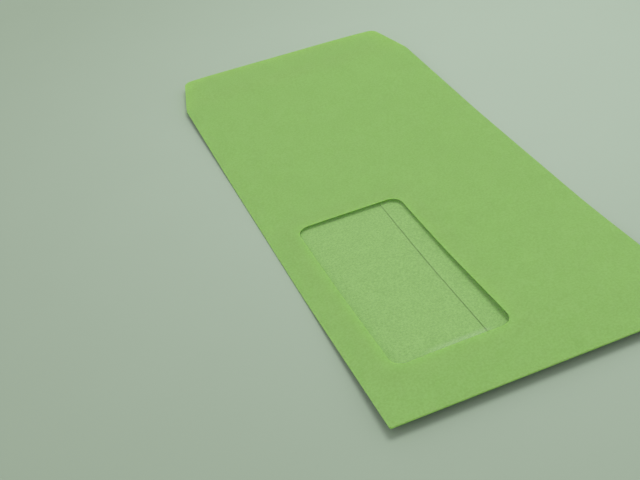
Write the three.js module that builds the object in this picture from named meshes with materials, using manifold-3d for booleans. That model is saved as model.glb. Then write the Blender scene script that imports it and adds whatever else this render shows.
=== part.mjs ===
// A pocket envelope with an address window, lying front up with its seal flap open.
// It is folded from one die-cut blank: the front carries the seal flap at one end and
// the bottom flap at the other, and a back panel on each side. The back panels meet in a
// glued seam, and the bottom flap is glued over their outside.
// X runs across, Y from the bottom fold to the seal flap, Z up. Lengths are millimetres.

import * as THREE from "three";
import { mergeVertices } from "three/addons/utils/BufferGeometryUtils.js";
import Module from "manifold-3d";

const wasm = await Module();
wasm.setup();

// Body and paper
const bodyWidth = 120;
const bodyLength = 235;
const paperThickness = 0.12;
const sideFoldRadius = 0.3; // to the middle of the paper

// Seal flap, past the crease at the mouth
const sealFlapHeight = 25.5;
const sealFlapTaper = 6.5;
const sealFlapCorner = 4;
const mouthStep = 1.5; // from the crease down to the back's upper edge

// Bottom flap, folded up over the back
const bottomFlapHeight = 20;
const bottomFlapTaper = 8;
const bottomFlapCorner = 5;
const backHem = 0.1; // from the bottom bend to the back's lower edge

// Seam of the back, where the right panel lies inside the left one
const seamInnerEdge = -10.5; // the right panel's free edge
const seamOverlap = 14;
const joggleLength = 10; // over which the right panel steps up

// Window, measured from the left fold and from the bottom fold
const windowWidth = 45;
const windowLength = 92;
const windowCorner = 5;
const windowSideMargin = 12.4;
const windowBottomMargin = 22.5;

// Film patch behind the window
const filmThickness = 0.03;
const filmMargin = 7.5;

// Dried gum
const gumThickness = 0.03;
const contactGap = 0.005; // left on both faces of each gum layer
const windowGumWidth = 5;
const windowGumInset = 0.5; // from the film's edge
const seamGumInset = 1;
const seamGumEnds = 3;
const bottomGumInset = 2;
const bottomGumWidth = 14;
const sealGumSideInset = 5;
const sealGumStart = 8; // from the crease
const sealGumWidth = 12;

// The way it lies: the middle rests flat and both ends curl up
const restStart = 85;
const restLength = 60;
const curlLength = 25; // over which each end bends away from the flat middle
const bottomSlope = 0.0447;
const mouthSlope = 0.0251;

// The front stands off the back, highest near the bottom
const bottomLift = 2.4;
const mouthLift = 1;
const liftLength = 30;
const liftFall = 120; // over which the lift comes down to that at the mouth
const crownPower = 6;

// Facets
const longestColumn = 12;
const longestRow = 11;
const leastStep = 0.02;
const foldSegments = 4;
const cornerSegments = 5;

// Levels of the paper's middle over the lie of the back's underside
const layerGap = gumThickness + 2 * contactGap;
const backLevel = paperThickness / 2;
const seamStep = paperThickness + layerGap;
const frontLevel = backLevel + 2 * sideFoldRadius;
const bottomFlapLevel = backLevel - paperThickness - layerGap;
const bottomBendRadius = (frontLevel - bottomFlapLevel) / 2;
const bottomBendLevel = (frontLevel + bottomFlapLevel) / 2;

// Places across and along
const frontHalf = bodyWidth / 2 - sideFoldRadius - paperThickness / 2;
const bottomBendY = bottomBendRadius + paperThickness / 2;
const backStart = bottomBendY + backHem;
const backEnd = bodyLength - mouthStep;
const seamOuterEdge = seamInnerEdge + seamOverlap;
const windowArea = areaOf(
  -bodyWidth / 2 + windowSideMargin,
  windowBottomMargin,
  windowWidth,
  windowLength,
);
const filmArea = grown(windowArea, filmMargin);
const windowGumOuter = grown(filmArea, -windowGumInset);
const windowGumInner = grown(windowGumOuter, -windowGumWidth);
const seamGumArea = areaOf(
  seamInnerEdge + seamGumInset,
  backStart + seamGumEnds,
  seamOverlap - 2 * seamGumInset,
  backEnd - backStart - 2 * seamGumEnds,
);
const bottomGumArea = areaOf(
  -frontHalf + bottomGumInset,
  bottomGumInset,
  2 * (frontHalf - bottomGumInset),
  bottomGumWidth,
);
const sealGumArea = areaOf(
  -frontHalf + sealGumSideInset,
  sealGumStart,
  2 * (frontHalf - sealGumSideInset),
  sealGumWidth,
);

function areaOf(left, bottom, width, length) {
  return { left, bottom, right: left + width, top: bottom + length };
}

function grown(area, margin) {
  return {
    left: area.left - margin,
    bottom: area.bottom - margin,
    right: area.right + margin,
    top: area.top + margin,
  };
}

function isInside(area, x, y) {
  return x > area.left && x < area.right && y > area.bottom && y < area.top;
}

// Stations through every mark, with no step longer than the longest one.
function stations(marks, longest) {
  const sorted = [...marks].sort((a, b) => a - b);
  const kept = sorted.filter((mark, i) => i === 0 || mark - sorted[i - 1] > leastStep);
  return kept.flatMap((mark, i) => {
    if (i === 0) return [mark];
    const parts = Math.ceil((mark - kept[i - 1]) / longest);
    return spread(kept[i - 1], mark, parts);
  });
}

// The ends of so many equal parts, without the start.
function spread(start, end, parts) {
  return Array.from({ length: parts }, (_, k) => THREE.MathUtils.lerp(start, end, (k + 1) / parts));
}

// Height of the back's underside along the envelope.
function lieAt(y) {
  const curl = (past, slope) => {
    const bent = THREE.MathUtils.clamp(past, 0, curlLength);
    return slope * ((bent * bent) / (2 * curlLength) + Math.max(past - curlLength, 0));
  };
  return curl(restStart - y, bottomSlope) + curl(y - restStart - restLength, mouthSlope);
}

// How far the front stands off the back at its middle.
function liftAt(y) {
  const rise = THREE.MathUtils.clamp((y - bottomBendY) / liftLength, 0, 1);
  const fall = THREE.MathUtils.smoothstep(y, 0, liftFall);
  return rise * (2 - rise) * THREE.MathUtils.lerp(bottomLift, mouthLift, fall);
}

// Step up of the right back panel onto the left one.
function joggleAt(x) {
  return seamStep * THREE.MathUtils.smoothstep(seamOuterEdge + joggleLength - x, 0, joggleLength);
}

// The blank's columns run round the envelope: left back, left fold, front, right fold, right back.
function blankColumns() {
  const seamMarks = [seamGumArea.left, seamGumArea.right];
  const leftBack = stations([-frontHalf, ...seamMarks, seamInnerEdge, seamOuterEdge], longestColumn * 2);
  const joggle = spread(seamOuterEdge, seamOuterEdge + joggleLength, 4);
  const rightBack = stations([seamInnerEdge, seamOuterEdge, ...joggle, frontHalf], longestColumn * 2);
  const marks = [filmArea, windowGumOuter, windowGumInner, bottomGumArea, sealGumArea];
  const front = stations(
    [-frontHalf, frontHalf, ...marks.flatMap((area) => [area.left, area.right])],
    longestColumn,
  );
  const foldTurns = spread(0, Math.PI, foldSegments).slice(0, -1);
  const foldColumn = (side, turn) => ({
    panel: "fold",
    x: side * (frontHalf + sideFoldRadius * Math.sin(turn)),
    z: backLevel + sideFoldRadius * (1 - Math.cos(turn)),
  });
  return [
    ...leftBack.reverse().map((x) => ({ panel: "leftBack", x, z: backLevel })),
    ...foldTurns.map((turn) => foldColumn(-1, turn)),
    ...front.map((x) => ({ panel: "front", x, z: frontLevel })),
    ...foldTurns.reverse().map((turn) => foldColumn(1, turn)),
    ...rightBack.reverse().map((x) => ({ panel: "rightBack", x, z: backLevel + joggleAt(x) })),
  ];
}

// Distance past the fold and half width along a flap with slanted sides and rounded corners.
function flapOutline(height, taper, radius, marks) {
  const slant = Math.atan2(taper, height);
  const centreY = height - radius;
  const centreX = frontHalf - (radius + centreY * Math.sin(slant)) / Math.cos(slant);
  const side = stations([0, ...marks, centreY + radius * Math.sin(slant)], longestRow).slice(1);
  const corner = spread(slant, Math.PI / 2, cornerSegments);
  return [
    ...side.map((past) => ({ past, half: frontHalf - (taper * past) / height })),
    ...corner.map((angle) => ({
      past: centreY + radius * Math.sin(angle),
      half: centreX + radius * Math.cos(angle),
    })),
  ];
}

// The blank's rows run along it: bottom flap, bottom bend, body, seal flap.
function blankRows() {
  const areas = [filmArea, windowGumOuter, windowGumInner, seamGumArea];
  const curlMarks = [restStart - curlLength, restStart, restStart + restLength];
  const body = stations(
    [
      bottomBendY,
      backStart,
      bottomBendY + liftLength / 2,
      bottomBendY + liftLength,
      ...curlMarks,
      restStart + restLength + curlLength,
      ...areas.flatMap((area) => [area.bottom, area.top]),
      backEnd,
      bodyLength,
    ],
    longestRow,
  );
  const sealMarks = [sealGumArea.bottom, sealGumArea.top];
  const bottomMarks = [bottomGumArea.bottom, bottomGumArea.top];
  const seal = flapOutline(sealFlapHeight, sealFlapTaper, sealFlapCorner, sealMarks);
  const bottom = flapOutline(bottomFlapHeight, bottomFlapTaper, bottomFlapCorner, bottomMarks);
  const bend = spread(0, Math.PI, foldSegments).reverse();
  return [
    ...bottom.reverse().map(({ past, half }) => ({
      zone: "bottomFlap",
      past,
      half,
      y: bottomBendY + past,
      level: bottomFlapLevel,
    })),
    ...bend.map((turn) => ({
      zone: "bottomBend",
      past: 0,
      half: frontHalf,
      y: bottomBendY - bottomBendRadius * Math.sin(turn),
      level: bottomBendLevel + bottomBendRadius * Math.cos(turn),
    })),
    ...body.map((y) => ({ zone: "body", past: y, half: frontHalf, y, level: frontLevel })),
    ...seal.map(({ past, half }) => ({
      zone: "sealFlap",
      past,
      half,
      y: bodyLength + past,
      level: frontLevel,
    })),
  ];
}

const columns = blankColumns();
const rows = blankRows();

// A point of the paper's middle.
function pointAt(column, row) {
  if (column.panel !== "front") return new THREE.Vector3(column.x, row.y, lieAt(row.y) + column.z);
  const across = column.x / frontHalf;
  const isCrowned = row.zone === "body" || row.zone === "sealFlap";
  const crown = isCrowned ? liftAt(row.y) * (1 - Math.abs(across) ** crownPower) : 0;
  return new THREE.Vector3(across * row.half, row.y, lieAt(row.y) + row.level + crown);
}

// A cell lies between two columns and two rows, with the panel and zone that both share.
function cellAt(i, j) {
  if (i < 0 || j < 0 || i > columns.length - 2 || j > rows.length - 2) return null;
  const [left, right] = [columns[i], columns[i + 1]];
  const [low, high] = [rows[j], rows[j + 1]];
  return {
    panel: left.panel === right.panel ? left.panel : "fold",
    zone: zoneBetween(low, high),
    x: (left.x + right.x) / 2,
    past: (low.past + high.past) / 2,
    onBack: low.zone === "body" && high.zone === "body" && low.y >= backStart && high.y <= backEnd,
  };
}

function zoneBetween(low, high) {
  if (low.zone === "bottomFlap" && high.zone === "bottomBend") return "bottomFlap";
  if (low.zone === "body" && high.zone === "sealFlap") return "sealFlap";
  return low.zone;
}

const isBlank = (cell) => cell.panel === "front" || cell.onBack;
const isOn = (panel, zone, area) => (cell) =>
  cell.panel === panel && cell.zone === zone && isInside(area, cell.x, cell.past);
const isFilm = isOn("front", "body", filmArea);
const isWindowGum = (cell) =>
  isOn("front", "body", windowGumOuter)(cell) && !isOn("front", "body", windowGumInner)(cell);

// The paper's middle at every crossing, with the direction that faces out of the envelope.
function blankGrid() {
  const points = columns.map((column) => rows.map((row) => pointAt(column, row)));
  const normals = columns.map(() => rows.map(() => new THREE.Vector3()));
  const [along, across] = [new THREE.Vector3(), new THREE.Vector3()];
  forCells(isBlank, (i, j) => {
    along.subVectors(points[i + 1][j + 1], points[i][j]);
    across.subVectors(points[i][j + 1], points[i + 1][j]);
    const normal = along.cross(across).normalize();
    for (const [a, b] of [[i, j], [i + 1, j], [i + 1, j + 1], [i, j + 1]]) normals[a][b].add(normal);
  });
  normals.flat().forEach((normal) => normal.normalize());
  return { points, normals };
}

function forCells(isIn, use) {
  for (let i = 0; i < columns.length - 1; i++)
    for (let j = 0; j < rows.length - 1; j++) if (isIn(cellAt(i, j))) use(i, j);
}

const grid = blankGrid();

// A closed sheet over the chosen cells, between two distances from the paper's middle.
function sheet(isIn, inner, outer) {
  const positions = [];
  const triangle = (...corners) => {
    for (const [i, j, offset] of corners) {
      const point = grid.points[i][j].clone().addScaledVector(grid.normals[i][j], offset);
      positions.push(point.x, point.y, point.z);
    }
  };
  const isOpen = (i, j) => {
    const cell = cellAt(i, j);
    return !cell || !isIn(cell);
  };
  forCells(isIn, (i, j) => {
    const ring = [[i, j], [i + 1, j], [i + 1, j + 1], [i, j + 1]];
    const besides = [[i, j - 1], [i + 1, j], [i, j + 1], [i - 1, j]];
    const [a, b, c, d] = ring;
    triangle([...a, outer], [...b, outer], [...c, outer]);
    triangle([...a, outer], [...c, outer], [...d, outer]);
    triangle([...a, inner], [...c, inner], [...b, inner]);
    triangle([...a, inner], [...d, inner], [...c, inner]);
    ring.forEach((from, side) => {
      if (!isOpen(...besides[side])) return;
      const to = ring[(side + 1) % 4];
      triangle([...from, inner], [...to, inner], [...to, outer]);
      triangle([...from, inner], [...to, outer], [...from, outer]);
    });
  });
  const geometry = new THREE.BufferGeometry();
  geometry.setAttribute("position", new THREE.Float32BufferAttribute(positions, 3));
  return geometry;
}

function solidOf(geometry) {
  geometry.deleteAttribute("normal");
  geometry.deleteAttribute("uv");
  const merged = mergeVertices(geometry, 1e-4);
  return new wasm.Manifold(
    new wasm.Mesh({
      numProp: 3,
      vertProperties: merged.attributes.position.array,
      triVerts: new Uint32Array(merged.index.array),
    }),
  );
}

function geometryOf(solid) {
  const { vertProperties, triVerts } = solid.getMesh();
  const geometry = new THREE.BufferGeometry();
  geometry.setAttribute("position", new THREE.BufferAttribute(vertProperties, 3));
  geometry.setIndex(new THREE.BufferAttribute(triVerts, 1));
  return geometry;
}

function roundedRectangle(area, radius) {
  const shape = new THREE.Shape();
  const quarter = Math.PI / 2;
  shape.absarc(area.right - radius, area.bottom + radius, radius, -quarter, 0);
  shape.absarc(area.right - radius, area.top - radius, radius, 0, quarter);
  shape.absarc(area.left + radius, area.top - radius, radius, quarter, 2 * quarter);
  shape.absarc(area.left + radius, area.bottom + radius, radius, 2 * quarter, 3 * quarter);
  return shape;
}

// The piece that the window leaves out of the front: a rounded punch, kept within the front's layer.
function windowPunch() {
  const punchHeight = 40;
  const punch = new THREE.ExtrudeGeometry(roundedRectangle(windowArea, windowCorner), {
    depth: punchHeight,
    bevelEnabled: false,
    curveSegments: 6,
  });
  punch.translate(0, 0, -punchHeight / 2);
  return solidOf(punch).intersect(solidOf(sheet(isFilm, -sideFoldRadius, sideFoldRadius)));
}

function envelopePaper() {
  const blank = solidOf(sheet(isBlank, -paperThickness / 2, paperThickness / 2));
  return geometryOf(blank.subtract(windowPunch()));
}

// A layer of gum on the inner face of the blank.
function gumLayer(isIn) {
  const outer = -paperThickness / 2 - contactGap;
  return sheet(isIn, outer - gumThickness, outer);
}

function windowFilm() {
  const outer = -paperThickness / 2 - layerGap;
  return sheet(isFilm, outer - filmThickness, outer);
}

const paperLook = { color: 0x90b870, roughness: 0.85, metalness: 0 };
const filmLook = { color: 0xf2f4f2, roughness: 0.12, metalness: 0, transparent: true, opacity: 0.3 };
const gumLook = { color: 0xd9dcc0, roughness: 0.35, metalness: 0 };

function addPiece(group, name, geometry, look) {
  geometry.computeVertexNormals();
  const mesh = new THREE.Mesh(geometry, new THREE.MeshStandardMaterial(look));
  mesh.name = name;
  group.add(mesh);
}

const envelope = new THREE.Group();
addPiece(envelope, "envelope_paper", envelopePaper(), paperLook);
addPiece(envelope, "window_film", windowFilm(), filmLook);
addPiece(envelope, "window_gum", gumLayer(isWindowGum), gumLook);
addPiece(envelope, "seam_gum", gumLayer(isOn("leftBack", "body", seamGumArea)), gumLook);
addPiece(envelope, "bottom_gum", gumLayer(isOn("front", "bottomFlap", bottomGumArea)), gumLook);
addPiece(envelope, "seal_gum", gumLayer(isOn("front", "sealFlap", sealGumArea)), gumLook);
envelope.position.y = -(bodyLength + sealFlapHeight) / 2;

export default envelope;
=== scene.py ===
import math

import bmesh
import bpy
from mathutils import Matrix, Vector, noise


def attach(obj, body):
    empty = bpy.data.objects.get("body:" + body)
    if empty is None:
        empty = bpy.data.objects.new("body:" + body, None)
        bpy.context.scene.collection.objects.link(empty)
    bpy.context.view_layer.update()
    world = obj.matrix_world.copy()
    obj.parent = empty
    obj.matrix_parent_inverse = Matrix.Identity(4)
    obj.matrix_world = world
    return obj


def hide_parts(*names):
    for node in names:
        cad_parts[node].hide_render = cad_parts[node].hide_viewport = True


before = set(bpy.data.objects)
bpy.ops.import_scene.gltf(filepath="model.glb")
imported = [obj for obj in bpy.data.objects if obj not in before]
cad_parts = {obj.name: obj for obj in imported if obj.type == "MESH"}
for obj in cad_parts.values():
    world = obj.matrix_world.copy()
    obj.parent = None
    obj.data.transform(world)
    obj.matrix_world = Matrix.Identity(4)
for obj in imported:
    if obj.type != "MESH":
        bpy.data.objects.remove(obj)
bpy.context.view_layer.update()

mm = 0.001
cutReach = 1e-5  # a point this near a cut counts as on it
sharpAngle = 50.0

# Lengths are millimetres until a mesh is finished. X runs across, Y along from the bottom fold, Z up.
paper = {
    "width": 120.0,
    "length": 235.0,
    "thickness": 0.12,
    "foldRadius": 0.3,
    "foldSteps": 6,
    "frontStep": 2.5,
    "backStep": 5.0,
    "rowStep": 3.0,
    "bendStep": 0.2,
}
sealFlap = {"height": 25.5, "taper": 6.5, "corner": 4.0, "cornerCuts": 7, "mouthStep": 1.5}
bottomFlap = {"height": 20.0, "taper": 8.0, "corner": 5.0, "cornerCuts": 7, "hem": 0.1}
seam = {
    "innerEdge": -10.5,
    "overlap": 14.0,
    "joggle": 10.0,
    "looseEdge": 1.5,
    "looseLift": 0.12,
    "skew": 0.012,  # the free edge runs slightly off the envelope's line
    "skewMiddle": 113.0,
}
window = {"width": 45.0, "length": 92.0, "corner": 5.0, "cornerCuts": 9, "side": 12.4, "bottom": 22.5}
film = {"thickness": 0.03, "margin": 7.5, "step": 2.0}
gum = {
    "thickness": 0.03,
    "gap": 0.005,
    "step": 3.0,
    "frameWidth": 5.0,
    "frameInset": 0.5,
    "seamInset": 1.0,
    "seamEnds": 3.0,
    "bottomInset": 2.0,
    "bottomWidth": 14.0,
    "sealSide": 5.0,
    "sealStart": 8.0,
    "sealWidth": 12.0,
}
lie = {"restStart": 85.0, "restLength": 60.0, "curl": 25.0, "bottomSlope": 0.0447, "mouthSlope": 0.0251}
lift = {"bottom": 2.4, "mouth": 1.0, "length": 30.0, "fall": 120.0, "power": 6.0}
wave = {"height": 0.12, "size": 55.0, "fineHeight": 0.02, "fineSize": 14.0, "fade": 14.0}

layerGap = gum["thickness"] + 2 * gum["gap"]
halfPaper = paper["thickness"] / 2
backLevel = halfPaper
frontLevel = backLevel + 2 * paper["foldRadius"]
flapLevel = backLevel - paper["thickness"] - layerGap
bendRadius = (frontLevel - flapLevel) / 2
bendLevel = (frontLevel + flapLevel) / 2
bendY = bendRadius + halfPaper
frontHalf = paper["width"] / 2 - paper["foldRadius"] - halfPaper
foldLength = math.pi * paper["foldRadius"]
bendLength = math.pi * bendRadius
backStart = bendY + bottomFlap["hem"]
backEnd = paper["length"] - sealFlap["mouthStep"]
seamOuterEdge = seam["innerEdge"] + seam["overlap"]
middleY = (paper["length"] + sealFlap["height"]) / 2
windowLeft = -paper["width"] / 2 + window["side"]


def areaOf(left, bottom, width, length):
    return {"left": left, "bottom": bottom, "right": left + width, "top": bottom + length}


def grown(area, margin):
    return {
        "left": area["left"] - margin,
        "bottom": area["bottom"] - margin,
        "right": area["right"] + margin,
        "top": area["top"] + margin,
    }


windowArea = areaOf(windowLeft, window["bottom"], window["width"], window["length"])
filmArea = grown(windowArea, film["margin"])


def smooth(low, high, value):
    t = min(max((value - low) / (high - low), 0.0), 1.0)
    return t * t * (3 - 2 * t)


# How far the envelope's two ends curl up from where it rests.
def lieAt(y):
    def curlAt(past, slope):
        bent = min(max(past, 0.0), lie["curl"])
        return slope * (bent * bent / (2 * lie["curl"]) + max(past - lie["curl"], 0.0))

    restEnd = lie["restStart"] + lie["restLength"]
    return curlAt(lie["restStart"] - y, lie["bottomSlope"]) + curlAt(y - restEnd, lie["mouthSlope"])


def liftAt(y):
    rise = min(max((y - bendY) / lift["length"], 0.0), 1.0)
    fallen = smooth(0.0, lift["fall"], y)
    return rise * (2 - rise) * (lift["bottom"] * (1 - fallen) + lift["mouth"] * fallen)


def joggleAt(x):
    past = seamOuterEdge + seam["joggle"] - x
    return (paper["thickness"] + layerGap) * smooth(0.0, seam["joggle"], past)


def waveAt(x, y):
    held = smooth(0.0, wave["fade"], frontHalf - abs(x)) * smooth(0.0, wave["fade"], y - bendY)
    broad = noise.noise(Vector((x / wave["size"], y / wave["size"], 3.7)))
    fine = noise.noise(Vector((x / wave["fineSize"], y / wave["fineSize"], 8.1)))
    return held * (wave["height"] * broad + wave["fineHeight"] * fine)


def frontAt(x, y):
    crown = liftAt(y) * (1 - abs(x / frontHalf) ** lift["power"])
    return lieAt(y) + frontLevel + crown + waveAt(x, y)


# A point of the flat blank, u across and v along, goes to its place on the folded envelope.
def folded(u, v):
    past = abs(u) - frontHalf
    side = 1.0 if u > 0 else -1.0
    if past > 0:
        if past < foldLength:
            turn = past / paper["foldRadius"]
            x = side * (frontHalf + paper["foldRadius"] * math.sin(turn))
            return Vector((x, v, lieAt(v) + backLevel + paper["foldRadius"] * (1 + math.cos(turn))))
        x = side * (frontHalf - (past - foldLength))
        raised = 0.0
        if side > 0:
            loose = min(max((seam["innerEdge"] + seam["looseEdge"] - x) / seam["looseEdge"], 0.0), 1.0)
            raised = joggleAt(x) + seam["looseLift"] * loose * loose
        return Vector((x, v, lieAt(v) + backLevel + raised))
    if v >= bendY:
        return Vector((u, v, frontAt(u, v)))
    tucked = bendY - v
    if tucked < bendLength:
        turn = tucked / bendRadius
        y = bendY - bendRadius * math.sin(turn)
        return Vector((u, y, lieAt(y) + bendLevel + bendRadius * math.cos(turn)))
    y = bendY + tucked - bendLength
    return Vector((u, y, lieAt(y) + flapLevel))


def cut(bm, place, normal, faces=None, clearOuter=False):
    chosen = bm.faces[:] if faces is None else faces
    edges = list(dict.fromkeys(e for f in chosen for e in f.edges))
    verts = list(dict.fromkeys(v for f in chosen for v in f.verts))
    bmesh.ops.bisect_plane(
        bm,
        geom=edges + verts + chosen,
        dist=cutReach,
        plane_co=Vector(place),
        plane_no=Vector(normal),
        clear_outer=clearOuter,
    )


def cutAcross(bm, values):
    for value in values:
        cut(bm, (value, 0, 0), (1, 0, 0))


def cutAlong(bm, values):
    for value in values:
        cut(bm, (0, value, 0), (0, 1, 0))


def facesWhere(bm, test):
    return [f for f in bm.faces if test(f.calc_center_median())]


def deleteFaces(bm, test):
    bmesh.ops.delete(bm, geom=facesWhere(bm, test), context="FACES")


def rectangle(area):
    bm = bmesh.new()
    bmesh.ops.create_grid(bm, x_segments=1, y_segments=1, size=0.5)
    width, length = area["right"] - area["left"], area["top"] - area["bottom"]
    bmesh.ops.scale(bm, vec=(width, length, 1), verts=bm.verts)
    middle = ((area["left"] + area["right"]) / 2, (area["bottom"] + area["top"]) / 2, 0)
    bmesh.ops.translate(bm, vec=middle, verts=bm.verts)
    return bm


def between(start, end, step):
    count = max(1, math.ceil((end - start) / step))
    return [start + (end - start) * k / count for k in range(1, count)]


# Slanted sides and rounded corners of a flap that points along +Y or -Y from its fold.
def trimFlap(bm, flap, foldV, direction):
    slant = math.atan2(flap["taper"], flap["height"])
    centreY = flap["height"] - flap["corner"]
    centreX = frontHalf - (flap["corner"] + centreY * math.sin(slant)) / math.cos(slant)
    for side in (-1, 1):
        for k in range(flap["cornerCuts"]):
            angle = slant + (math.pi / 2 - slant) * k / flap["cornerCuts"]
            out = Vector((side * math.cos(angle), direction * math.sin(angle), 0))
            place = Vector((side * centreX, foldV + direction * centreY, 0)) + out * flap["corner"]
            faces = facesWhere(bm, lambda c: direction * (c.y - foldV) > 0)
            cut(bm, place, out, faces, clearOuter=True)


def cutWindow(bm):
    area = windowArea
    inner = grown(area, -window["corner"])
    lines = []
    for cornerX, cornerY, start in (
        (inner["right"], inner["top"], 0),
        (inner["left"], inner["top"], 1),
        (inner["left"], inner["bottom"], 2),
        (inner["right"], inner["bottom"], 3),
    ):
        for k in range(1, window["cornerCuts"]):
            angle = (start + k / window["cornerCuts"]) * math.pi / 2
            out = Vector((math.cos(angle), math.sin(angle), 0))
            lines.append((Vector((cornerX, cornerY, 0)), out))
    cutAcross(bm, (area["left"], inner["left"], inner["right"], area["right"]))
    cutAlong(bm, (area["bottom"], inner["bottom"], inner["top"], area["top"]))

    def inCorner(centre, corner):
        reach = window["corner"]
        off = centre - corner
        return abs(off.x) < reach and abs(off.y) < reach and area["left"] < centre.x < area["right"]

    for corner, out in lines:
        faces = facesWhere(
            bm,
            lambda c: (c.x - corner.x) * out.x > 0 and (c.y - corner.y) * out.y > 0 and inCorner(c, corner),
        )
        cut(bm, corner + out * window["corner"], out, faces)

    def isHole(centre):
        if not (area["left"] < centre.x < area["right"] and area["bottom"] < centre.y < area["top"]):
            return False
        return all((centre - corner).dot(out) < window["corner"] for corner, out in lines)

    deleteFaces(bm, isHole)


def flatBlank():
    reach = frontHalf + foldLength
    bm = rectangle(
        {
            "left": -reach - frontHalf - seamOuterEdge,
            "right": reach + frontHalf - seam["innerEdge"] + 2,
            "bottom": bendY - bendLength - bottomFlap["height"],
            "top": paper["length"] + sealFlap["height"],
        }
    )
    freeEdge = (reach + frontHalf - seam["innerEdge"], seam["skewMiddle"], 0)
    cut(bm, freeEdge, (1, seam["skew"], 0), clearOuter=True)
    cutAcross(bm, (-reach, -frontHalf, frontHalf, reach))
    cutAlong(bm, (bendY - bendLength, bendY, backStart, backEnd, paper["length"]))
    deleteFaces(bm, lambda c: abs(c.x) > frontHalf and not backStart < c.y < backEnd)
    trimFlap(bm, sealFlap, paper["length"], 1)
    trimFlap(bm, bottomFlap, bendY - bendLength, -1)
    cutWindow(bm)
    foldStep = foldLength / paper["foldSteps"]
    for side in (-1, 1):
        cutAcross(bm, [side * (frontHalf + foldStep * k) for k in range(1, paper["foldSteps"])])
        cutAcross(bm, [side * value for value in between(reach, reach + 2 * frontHalf, paper["backStep"])])
    joggleStart = reach + frontHalf - seamOuterEdge - seam["joggle"]
    cutAcross(bm, [joggleStart] + between(joggleStart, joggleStart + seam["joggle"], 1.0))
    looseEdge = reach + frontHalf - seam["innerEdge"] - seam["looseEdge"]
    cutAcross(bm, [looseEdge] + between(looseEdge, looseEdge + seam["looseEdge"], 0.25))
    cutAcross(bm, between(-frontHalf, frontHalf, paper["frontStep"]))
    bendStart = bendY - bendLength
    cutAlong(bm, between(bendStart, bendY, paper["bendStep"]))
    cutAlong(bm, between(bendStart - bottomFlap["height"], bendStart, paper["rowStep"]))
    cutAlong(bm, between(backStart, paper["length"], paper["rowStep"]))
    cutAlong(bm, between(paper["length"], paper["length"] + sealFlap["height"], paper["rowStep"]))
    for face in facesWhere(bm, lambda c: abs(c.x) > reach):
        face.material_index = 1
    return bm


# A flat patch gets its stations, and its hole where it is a frame.
def flatPatch(area, step, hole=None):
    bm = rectangle(area)
    if hole:
        cutAcross(bm, (hole["left"], hole["right"]))
        cutAlong(bm, (hole["bottom"], hole["top"]))
        deleteFaces(
            bm, lambda c: hole["left"] < c.x < hole["right"] and hole["bottom"] < c.y < hole["top"]
        )
    cutAcross(bm, between(area["left"], area["right"], step))
    cutAlong(bm, between(area["bottom"], area["top"], step))
    return bm


# Moves the flat mesh to its folded place, gives it its thickness and makes it an object at the origin.
def finishSheet(name, bm, place, thickness, materials):
    for vert in bm.verts:
        vert.co = (place(vert.co.x, vert.co.y) - Vector((0, middleY, 0))) * mm
    mesh = bpy.data.meshes.new(name)
    bm.to_mesh(mesh)
    bm.free()
    piece = bpy.data.objects.new(name, mesh)
    bpy.context.scene.collection.objects.link(piece)
    for material in materials:
        mesh.materials.append(material)
    solid = piece.modifiers.new("thickness", "SOLIDIFY")
    solid.thickness = thickness * mm
    solid.offset = 0
    solid.use_even_offset = True
    solid.material_offset_rim = len(materials) - 1
    solved = piece.evaluated_get(bpy.context.evaluated_depsgraph_get())
    piece.data = bpy.data.meshes.new_from_object(solved)
    piece.modifiers.clear()
    for polygon in piece.data.polygons:
        polygon.use_smooth = True
    piece.data.set_sharp_from_angle(angle=math.radians(sharpAngle))
    return piece


class Wire:
    def __init__(self, tree, socket):
        self.tree = tree
        self.socket = socket

    def math(self, operation, *values):
        return self.tree.node("ShaderNodeMath", {"operation": operation}, dict(enumerate(values)))

    def __add__(self, other):
        return self.math("ADD", self, other)

    def __radd__(self, other):
        return self.math("ADD", other, self)

    def __sub__(self, other):
        return self.math("SUBTRACT", self, other)

    def __rsub__(self, other):
        return self.math("SUBTRACT", other, self)

    def __mul__(self, other):
        return self.math("MULTIPLY", self, other)

    def __rmul__(self, other):
        return self.math("MULTIPLY", other, self)

    def __truediv__(self, other):
        return self.math("DIVIDE", self, other)

    def __abs__(self):
        return self.math("ABSOLUTE", self)

    def clamped(self):
        return self.math("MINIMUM", self.math("MAXIMUM", self, 0.0), 1.0)

    def ramped(self, low, high):
        settings = {"interpolation_type": "SMOOTHSTEP"}
        inputs = {"Value": self, "From Min": low, "From Max": high}
        return self.tree.node("ShaderNodeMapRange", settings, inputs)


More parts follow.
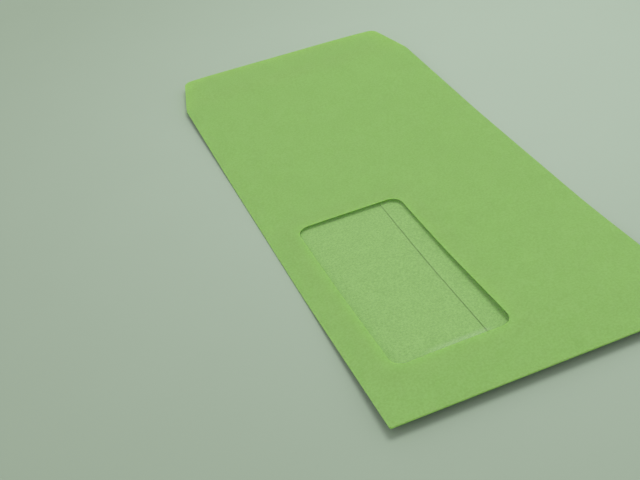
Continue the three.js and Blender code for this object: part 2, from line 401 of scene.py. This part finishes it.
class Shading:
    def __init__(self, name):
        self.material = bpy.data.materials.new(name)
        self.material.use_nodes = True
        self.nodes = self.material.node_tree.nodes
        self.links = self.material.node_tree.links
        self.nodes.clear()
        self.output = self.nodes.new("ShaderNodeOutputMaterial")

    def node(self, kind, settings=None, inputs=None, output=0):
        made = self.nodes.new(kind)
        for key, value in (settings or {}).items():
            setattr(made, key, value)
        for key, value in (inputs or {}).items():
            if isinstance(value, Wire):
                self.links.new(value.socket, made.inputs[key])
            else:
                made.inputs[key].default_value = value
        return Wire(self, made.outputs[output])

    def place(self):
        return self.node("ShaderNodeTexCoord", output="Object")

    def axis(self, place, name):
        return self.node("ShaderNodeSeparateXYZ", None, {0: place}, output=name)

    def stretched(self, place, scale, turn=0.0):
        return self.node(
            "ShaderNodeMapping", None, {"Vector": place, "Scale": scale, "Rotation": (0, 0, turn)}
        )

    def speckle(self, place, size, detail=2.0, roughness=0.5, distortion=0.0):
        inputs = {
            "Vector": place,
            "Scale": 1 / (size * mm),
            "Detail": detail,
            "Roughness": roughness,
            "Distortion": distortion,
        }
        return self.node("ShaderNodeTexNoise", None, inputs)

    def mixed(self, factor, first, second):
        settings = {"data_type": "RGBA"}
        return self.node("ShaderNodeMix", settings, {"Factor": factor, "A": first, "B": second}, output=2)

    def finish(self, shader):
        self.links.new(shader.socket, self.output.inputs["Surface"])
        return self.material


def colourOf(red, green, blue):
    def linear(value):
        share = value / 255
        return share / 12.92 if share <= 0.04045 else ((share + 0.055) / 1.055) ** 2.4

    return (linear(red), linear(green), linear(blue), 1.0)


paperLook = {
    "pale": colourOf(192, 221, 155),
    "deep": colourOf(173, 205, 134),
    "backPale": colourOf(154, 193, 118),
    "backDeep": colourOf(138, 178, 102),
    "rim": colourOf(206, 232, 176),
    "through": colourOf(219, 255, 84),
    "throughShare": 0.5,
    "cloudSize": 6.0,
    "cloudShare": 0.12,
    "fibreSize": 0.35,
    "crossFibreSize": 0.4,
    "fibreShare": 0.38,
    "grainSize": 0.8,
    "grainShare": 0.5,
    "toneRange": (0.38, 0.62),
    "rimTone": 0.4,
    "wornStart": 0.05,  # inside the fold's crest
    "wornLeast": 0.25,
    "wornFibres": 0.6,
    "toothSize": 0.16,
    "toothRelief": 0.5,
    "fibreRelief": 0.35,
    "reliefHeight": 0.012,
    "reliefStrength": 0.5,
    "roughness": 0.82,
    "roughnessSpread": 0.15,
    "specular": 0.3,
}


# Dyed-through paper: a cloudy sheet formation, short fibres lying both ways, and pale worn folds.
# Light that lands on the front goes on through it into the envelope. The back lies on the floor
# and lets none by.
def paperMaterial(name, isRim=False, isBack=False):
    look = paperLook
    pale, deep = (look["backPale"], look["backDeep"]) if isBack else (look["pale"], look["deep"])
    s = Shading(name)
    place = s.place()
    cloud = s.speckle(place, look["cloudSize"], 3.0, 0.6)
    along = s.speckle(s.stretched(place, (1.0, 0.16, 1.0), 0.5), look["fibreSize"], 3.0, 0.7, 1.2)
    across = s.speckle(s.stretched(place, (0.18, 1.0, 1.0), -0.3), look["crossFibreSize"], 3.0, 0.7, 1.2)
    tooth = s.speckle(place, look["toothSize"], 2.0, 0.6)
    fibres = (along + across) * 0.5
    grain = s.speckle(place, look["grainSize"], 2.0, 0.6)
    tone = cloud * look["cloudShare"] + fibres * look["fibreShare"] + grain * look["grainShare"]
    tone = tone.ramped(*look["toneRange"])
    if isRim:
        colour = s.mixed(tone * look["rimTone"], look["rim"], pale)
    else:
        aside = abs(s.axis(place, "X")) / mm
        crest = aside.ramped(frontHalf - look["wornStart"], paper["width"] / 2)
        worn = crest * (look["wornLeast"] + look["wornFibres"] * fibres)
        colour = s.mixed(worn.clamped(), s.mixed(tone, deep, pale), look["rim"])
    relief = {
        "Height": tooth * look["toothRelief"] + fibres * look["fibreRelief"],
        "Strength": look["reliefStrength"],
        "Distance": look["reliefHeight"] * mm,
    }
    inputs = {
        "Base Color": colour,
        "Roughness": look["roughness"] + (fibres - 0.5) * look["roughnessSpread"],
        "Normal": s.node("ShaderNodeBump", None, relief),
        "Specular IOR Level": look["specular"],
    }
    surface = s.node("ShaderNodeBsdfPrincipled", None, inputs)
    if isBack:
        return s.finish(surface)
    through = s.node("ShaderNodeBsdfTranslucent", None, {"Color": look["through"]})
    return s.finish(s.node("ShaderNodeMixShader", None, {0: look["throughShare"], 1: surface, 2: through}))


filmLook = {
    "hazeAndPaintedStreak": colourOf(230, 235, 230),
    "hazeShare": 0.008,
    "straight": 0.003,
    "glance": 0.4,
    # A pale streak along the window's bottom edge is painted into the film's milky haze: a painted
    # reflection.
    "paintedStreakShare": 0.06,
    "paintedStreakRise": (-0.6, 0.8),  # mm inwards from the window's bottom edge
    "paintedStreakFall": (0.8, 3.0),
    "paintedStreakStart": (6.0, 22.0),  # mm from the window's left edge
    "paintedStreakEnd": (32.0, 39.0),
    "paintedStreakWander": 1.5,
    "lineSize": 1.6,
    "softSize": 9.0,
    "roughness": 0.08,
    "hazeRoughness": 0.5,
    "ripple": 0.003,
    "rippleStrength": 0.6,
    "glancePower": 5.0,
}


# Clear film: see-through with a slight milky haze, faint draw lines and a clean reflection, plus a pale
# streak along the window's bottom edge that is a painted reflection.
def filmMaterial():
    look = filmLook
    s = Shading("clear_film")
    place = s.place()
    lines = s.speckle(s.stretched(place, (1.0, 0.05, 1.0)), look["lineSize"], 2.0, 0.5)
    soft = s.speckle(place, look["softSize"], 2.0, 0.5)
    ripple = {
        "Height": lines * 0.3 + soft,
        "Strength": look["rippleStrength"],
        "Distance": look["ripple"] * mm,
    }
    bump = s.node("ShaderNodeBump", None, ripple)
    inward = s.axis(place, "Y") / mm + (middleY - window["bottom"]) + (soft - 0.5) * look["paintedStreakWander"]
    sideways = s.axis(place, "X") / mm - windowLeft
    # Painted reflection: a pale band painted along the window's bottom edge, fading in and out along it.
    paintedStreak = inward.ramped(*look["paintedStreakRise"]) * (1 - inward.ramped(*look["paintedStreakFall"]))
    paintedStreak = paintedStreak * sideways.ramped(*look["paintedStreakStart"]) * (1 - sideways.ramped(*look["paintedStreakEnd"]))
    # The film's own slight milky haze, plus the painted reflection streak.
    hazeAndPaintedStreak = look["hazeShare"] * (0.85 + 0.3 * soft) + look["paintedStreakShare"] * paintedStreak
    dull = {"Base Color": look["hazeAndPaintedStreak"], "Roughness": look["hazeRoughness"], "Specular IOR Level": 0.0}
    milky = s.node("ShaderNodeBsdfPrincipled", None, dull)
    clear = s.node("ShaderNodeBsdfTransparent")
    shiny = {"Color": (1, 1, 1, 1), "Roughness": look["roughness"], "Normal": bump}
    gloss = s.node("ShaderNodeBsdfAnisotropic", None, shiny)
    facing = s.node("ShaderNodeLayerWeight", None, {"Blend": 0.5, "Normal": bump}, output="Facing")
    shine = look["straight"] + look["glance"] * facing.math("POWER", facing, look["glancePower"])
    body = s.node("ShaderNodeMixShader", None, {0: hazeAndPaintedStreak, 1: clear, 2: milky})
    return s.finish(s.node("ShaderNodeMixShader", None, {0: shine, 1: body, 2: gloss}))


gumLook = {
    "colour": colourOf(150, 176, 104),
    "thin": colourOf(140, 178, 104),
    "streakSize": 0.8,
    "poolSize": 4.0,
    "streakHeight": 0.01,
    "roughness": 0.25,
    "roughnessSpread": 0.2,
    "clearShare": 0.9,
}


# Dried gum on green paper: a thin glossy coat with brushed streaks. Round the window it lets light through.
def gumMaterial(name, isClear=False):
    look = gumLook
    s = Shading(name)
    place = s.place()
    streaks = s.speckle(s.stretched(place, (0.06, 1.0, 1.0)), look["streakSize"], 3.0, 0.6)
    pools = s.speckle(place, look["poolSize"], 2.0, 0.5)
    amount = (streaks * 0.6 + pools * 0.4).ramped(0.35, 0.65)
    relief = {"Height": streaks, "Strength": 0.4, "Distance": look["streakHeight"] * mm}
    inputs = {
        "Base Color": s.mixed(amount, look["thin"], look["colour"]),
        "Roughness": look["roughness"] + amount * look["roughnessSpread"],
        "Normal": s.node("ShaderNodeBump", None, relief),
    }
    surface = s.node("ShaderNodeBsdfPrincipled", None, inputs)
    if not isClear:
        return s.finish(surface)
    clear = s.node("ShaderNodeBsdfTransparent")
    return s.finish(s.node("ShaderNodeMixShader", None, {0: look["clearShare"], 1: surface, 2: clear}))


def addPiece(piece, node):
    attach(piece, "root")
    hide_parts(node)


# A layer that follows the front's curve at a level of its own.
def layerPlace(level):
    def place(x, y):
        return Vector((x, y, frontAt(x, y) + level))

    return place


def makePaper():
    rim = paperMaterial("cut_paper_edge", isRim=True)
    front = paperMaterial("green_paper")
    back = paperMaterial("green_paper_back", isBack=True)
    piece = finishSheet("folded_paper", flatBlank(), folded, paper["thickness"], [front, back, rim])
    addPiece(piece, "envelope_paper")


def makeFilm():
    level = -halfPaper - layerGap - film["thickness"] / 2
    bm = flatPatch(filmArea, film["step"])
    piece = finishSheet("film_patch", bm, layerPlace(level), film["thickness"], [filmMaterial()])
    addPiece(piece, "window_film")


def makeGum():
    dried = gumMaterial("dried_gum")
    clear = gumMaterial("clear_gum", isClear=True)
    inner = gum["gap"] + gum["thickness"] / 2
    outer = grown(filmArea, -gum["frameInset"])
    hole = grown(outer, -gum["frameWidth"])
    under = layerPlace(-halfPaper - inner)
    seamArea = {
        "left": seam["innerEdge"] + gum["seamInset"],
        "right": seamOuterEdge - gum["seamInset"],
        "bottom": backStart + gum["seamEnds"],
        "top": backEnd - gum["seamEnds"],
    }
    bottomArea = areaOf(
        -frontHalf + gum["bottomInset"] + bottomFlap["taper"],
        bendY + gum["bottomInset"],
        2 * (frontHalf - gum["bottomInset"] - bottomFlap["taper"]),
        gum["bottomWidth"],
    )
    sealArea = areaOf(
        -frontHalf + gum["sealSide"] + sealFlap["taper"],
        paper["length"] + gum["sealStart"],
        2 * (frontHalf - gum["sealSide"] - sealFlap["taper"]),
        gum["sealWidth"],
    )

    def overBack(x, y):
        return Vector((x, y, lieAt(y) + backLevel + halfPaper + inner))

    def overFlap(x, y):
        return Vector((x, y, lieAt(y) + flapLevel + halfPaper + inner))

    for name, node, bm, place, material in (
        ("film_gum_frame", "window_gum", flatPatch(outer, gum["step"], hole), under, clear),
        ("back_seam_gum", "seam_gum", flatPatch(seamArea, gum["step"]), overBack, dried),
        ("bottom_flap_gum", "bottom_gum", flatPatch(bottomArea, gum["step"]), overFlap, dried),
        ("seal_gum_strip", "seal_gum", flatPatch(sealArea, gum["step"]), under, dried),
    ):
        addPiece(finishSheet(name, bm, place, gum["thickness"], [material]), node)


camera = {
    "place": (-132.8, -191.6, 230.3),  # from the middle of the bottom fold, at the level of the folds
    "foldLevel": 0.36,
    "azimuth": -17.16,
    "elevation": 36.58,
    "roll": -8.11,
    "focal": 54.94,
    "sensor": 36.0,
}
setting = {
    # The floor is painted lighter round a point right of the envelope and darker away from it: a painted
    # pool of light.
    "floorInPaintedLight": colourOf(177, 190, 177),
    "floorOutsidePaintedLight": colourOf(159, 173, 156),
    "paintedLightCentre": (0.1, 0.04, 0.0),
    "paintedLightReach": (0.04, 0.36),
    "floorSize": 6.0,
    "floorRoughness": 0.75,
    "floorSpecular": 0.2,
    "mottleSize": 40.0,
    "mottleShare": 0.1,
    "sky": (0.97, 1.0, 0.96),
    "skyStrength": 0.66,
    "lampPlace": (0.4, 0.4, 1.38),
    "lampSize": 0.8,
    "lampPower": 8.6,
    "lampColour": (1.0, 1.0, 0.97),
}


def makeCamera():
    data = bpy.data.cameras.new("camera")
    data.lens = camera["focal"]
    data.sensor_width = camera["sensor"]
    data.clip_start = 0.01
    view = bpy.data.objects.new("camera", data)
    bpy.context.scene.collection.objects.link(view)
    azimuth, elevation = math.radians(camera["azimuth"]), math.radians(camera["elevation"])
    forward = Vector(
        (
            -math.sin(azimuth) * math.cos(elevation),
            math.cos(azimuth) * math.cos(elevation),
            -math.sin(elevation),
        )
    )
    level = forward.to_track_quat("-Z", "Y").to_matrix()
    turned = level @ Matrix.Rotation(math.radians(camera["roll"]), 3, "Z")
    x, y, z = camera["place"]
    place = Vector((x, y - middleY, z + camera["foldLevel"])) * mm
    view.matrix_world = Matrix.Translation(place) @ turned.to_4x4()
    bpy.context.scene.camera = view


def makeFloor():
    bm = bmesh.new()
    bmesh.ops.create_grid(bm, x_segments=8, y_segments=8, size=setting["floorSize"] / 2)
    mesh = bpy.data.meshes.new("floor")
    bm.to_mesh(mesh)
    bm.free()
    floor = bpy.data.objects.new("floor", mesh)
    bpy.context.scene.collection.objects.link(floor)
    s = Shading("pale_floor_painted_light")
    place = s.place()
    mottle = s.speckle(place, setting["mottleSize"], 2.0, 0.5)
    # Painted pool of light: the floor's colour goes from light near the centre to darker away from it, with
    # a random mottle on top.
    ends = {0: place, 1: setting["paintedLightCentre"]}
    paintedLightDistance = s.node("ShaderNodeVectorMath", {"operation": "DISTANCE"}, ends, output="Value")
    share = paintedLightDistance.ramped(*setting["paintedLightReach"]) + (mottle - 0.5) * setting["mottleShare"]
    inputs = {
        "Base Color": s.mixed(share.clamped(), setting["floorInPaintedLight"], setting["floorOutsidePaintedLight"]),
        "Roughness": setting["floorRoughness"],
        "Specular IOR Level": setting["floorSpecular"],
    }
    mesh.materials.append(s.finish(s.node("ShaderNodeBsdfPrincipled", None, inputs)))


def makeLight():
    scene = bpy.context.scene
    world = bpy.data.worlds.new("soft_studio")
    world.use_nodes = True
    background = world.node_tree.nodes["Background"]
    background.inputs["Color"].default_value = (*setting["sky"], 1.0)
    background.inputs["Strength"].default_value = setting["skyStrength"]
    scene.world = world
    data = bpy.data.lights.new("soft_lamp", "AREA")
    data.shape = "DISK"
    data.size = setting["lampSize"]
    data.energy = setting["lampPower"]
    data.color = setting["lampColour"]
    lamp = bpy.data.objects.new("soft_lamp", data)
    lamp.location = setting["lampPlace"]
    lamp.rotation_mode = "QUATERNION"
    lamp.rotation_quaternion = (-Vector(setting["lampPlace"])).to_track_quat("-Z", "Y")
    scene.collection.objects.link(lamp)


bpy.context.scene.view_settings.view_transform = "Standard"
makeCamera()
makeFloor()
makeLight()
print("setting ready")
makePaper()
print("paper folded")
makeFilm()
print("film set")
makeGum()
print("gum laid")
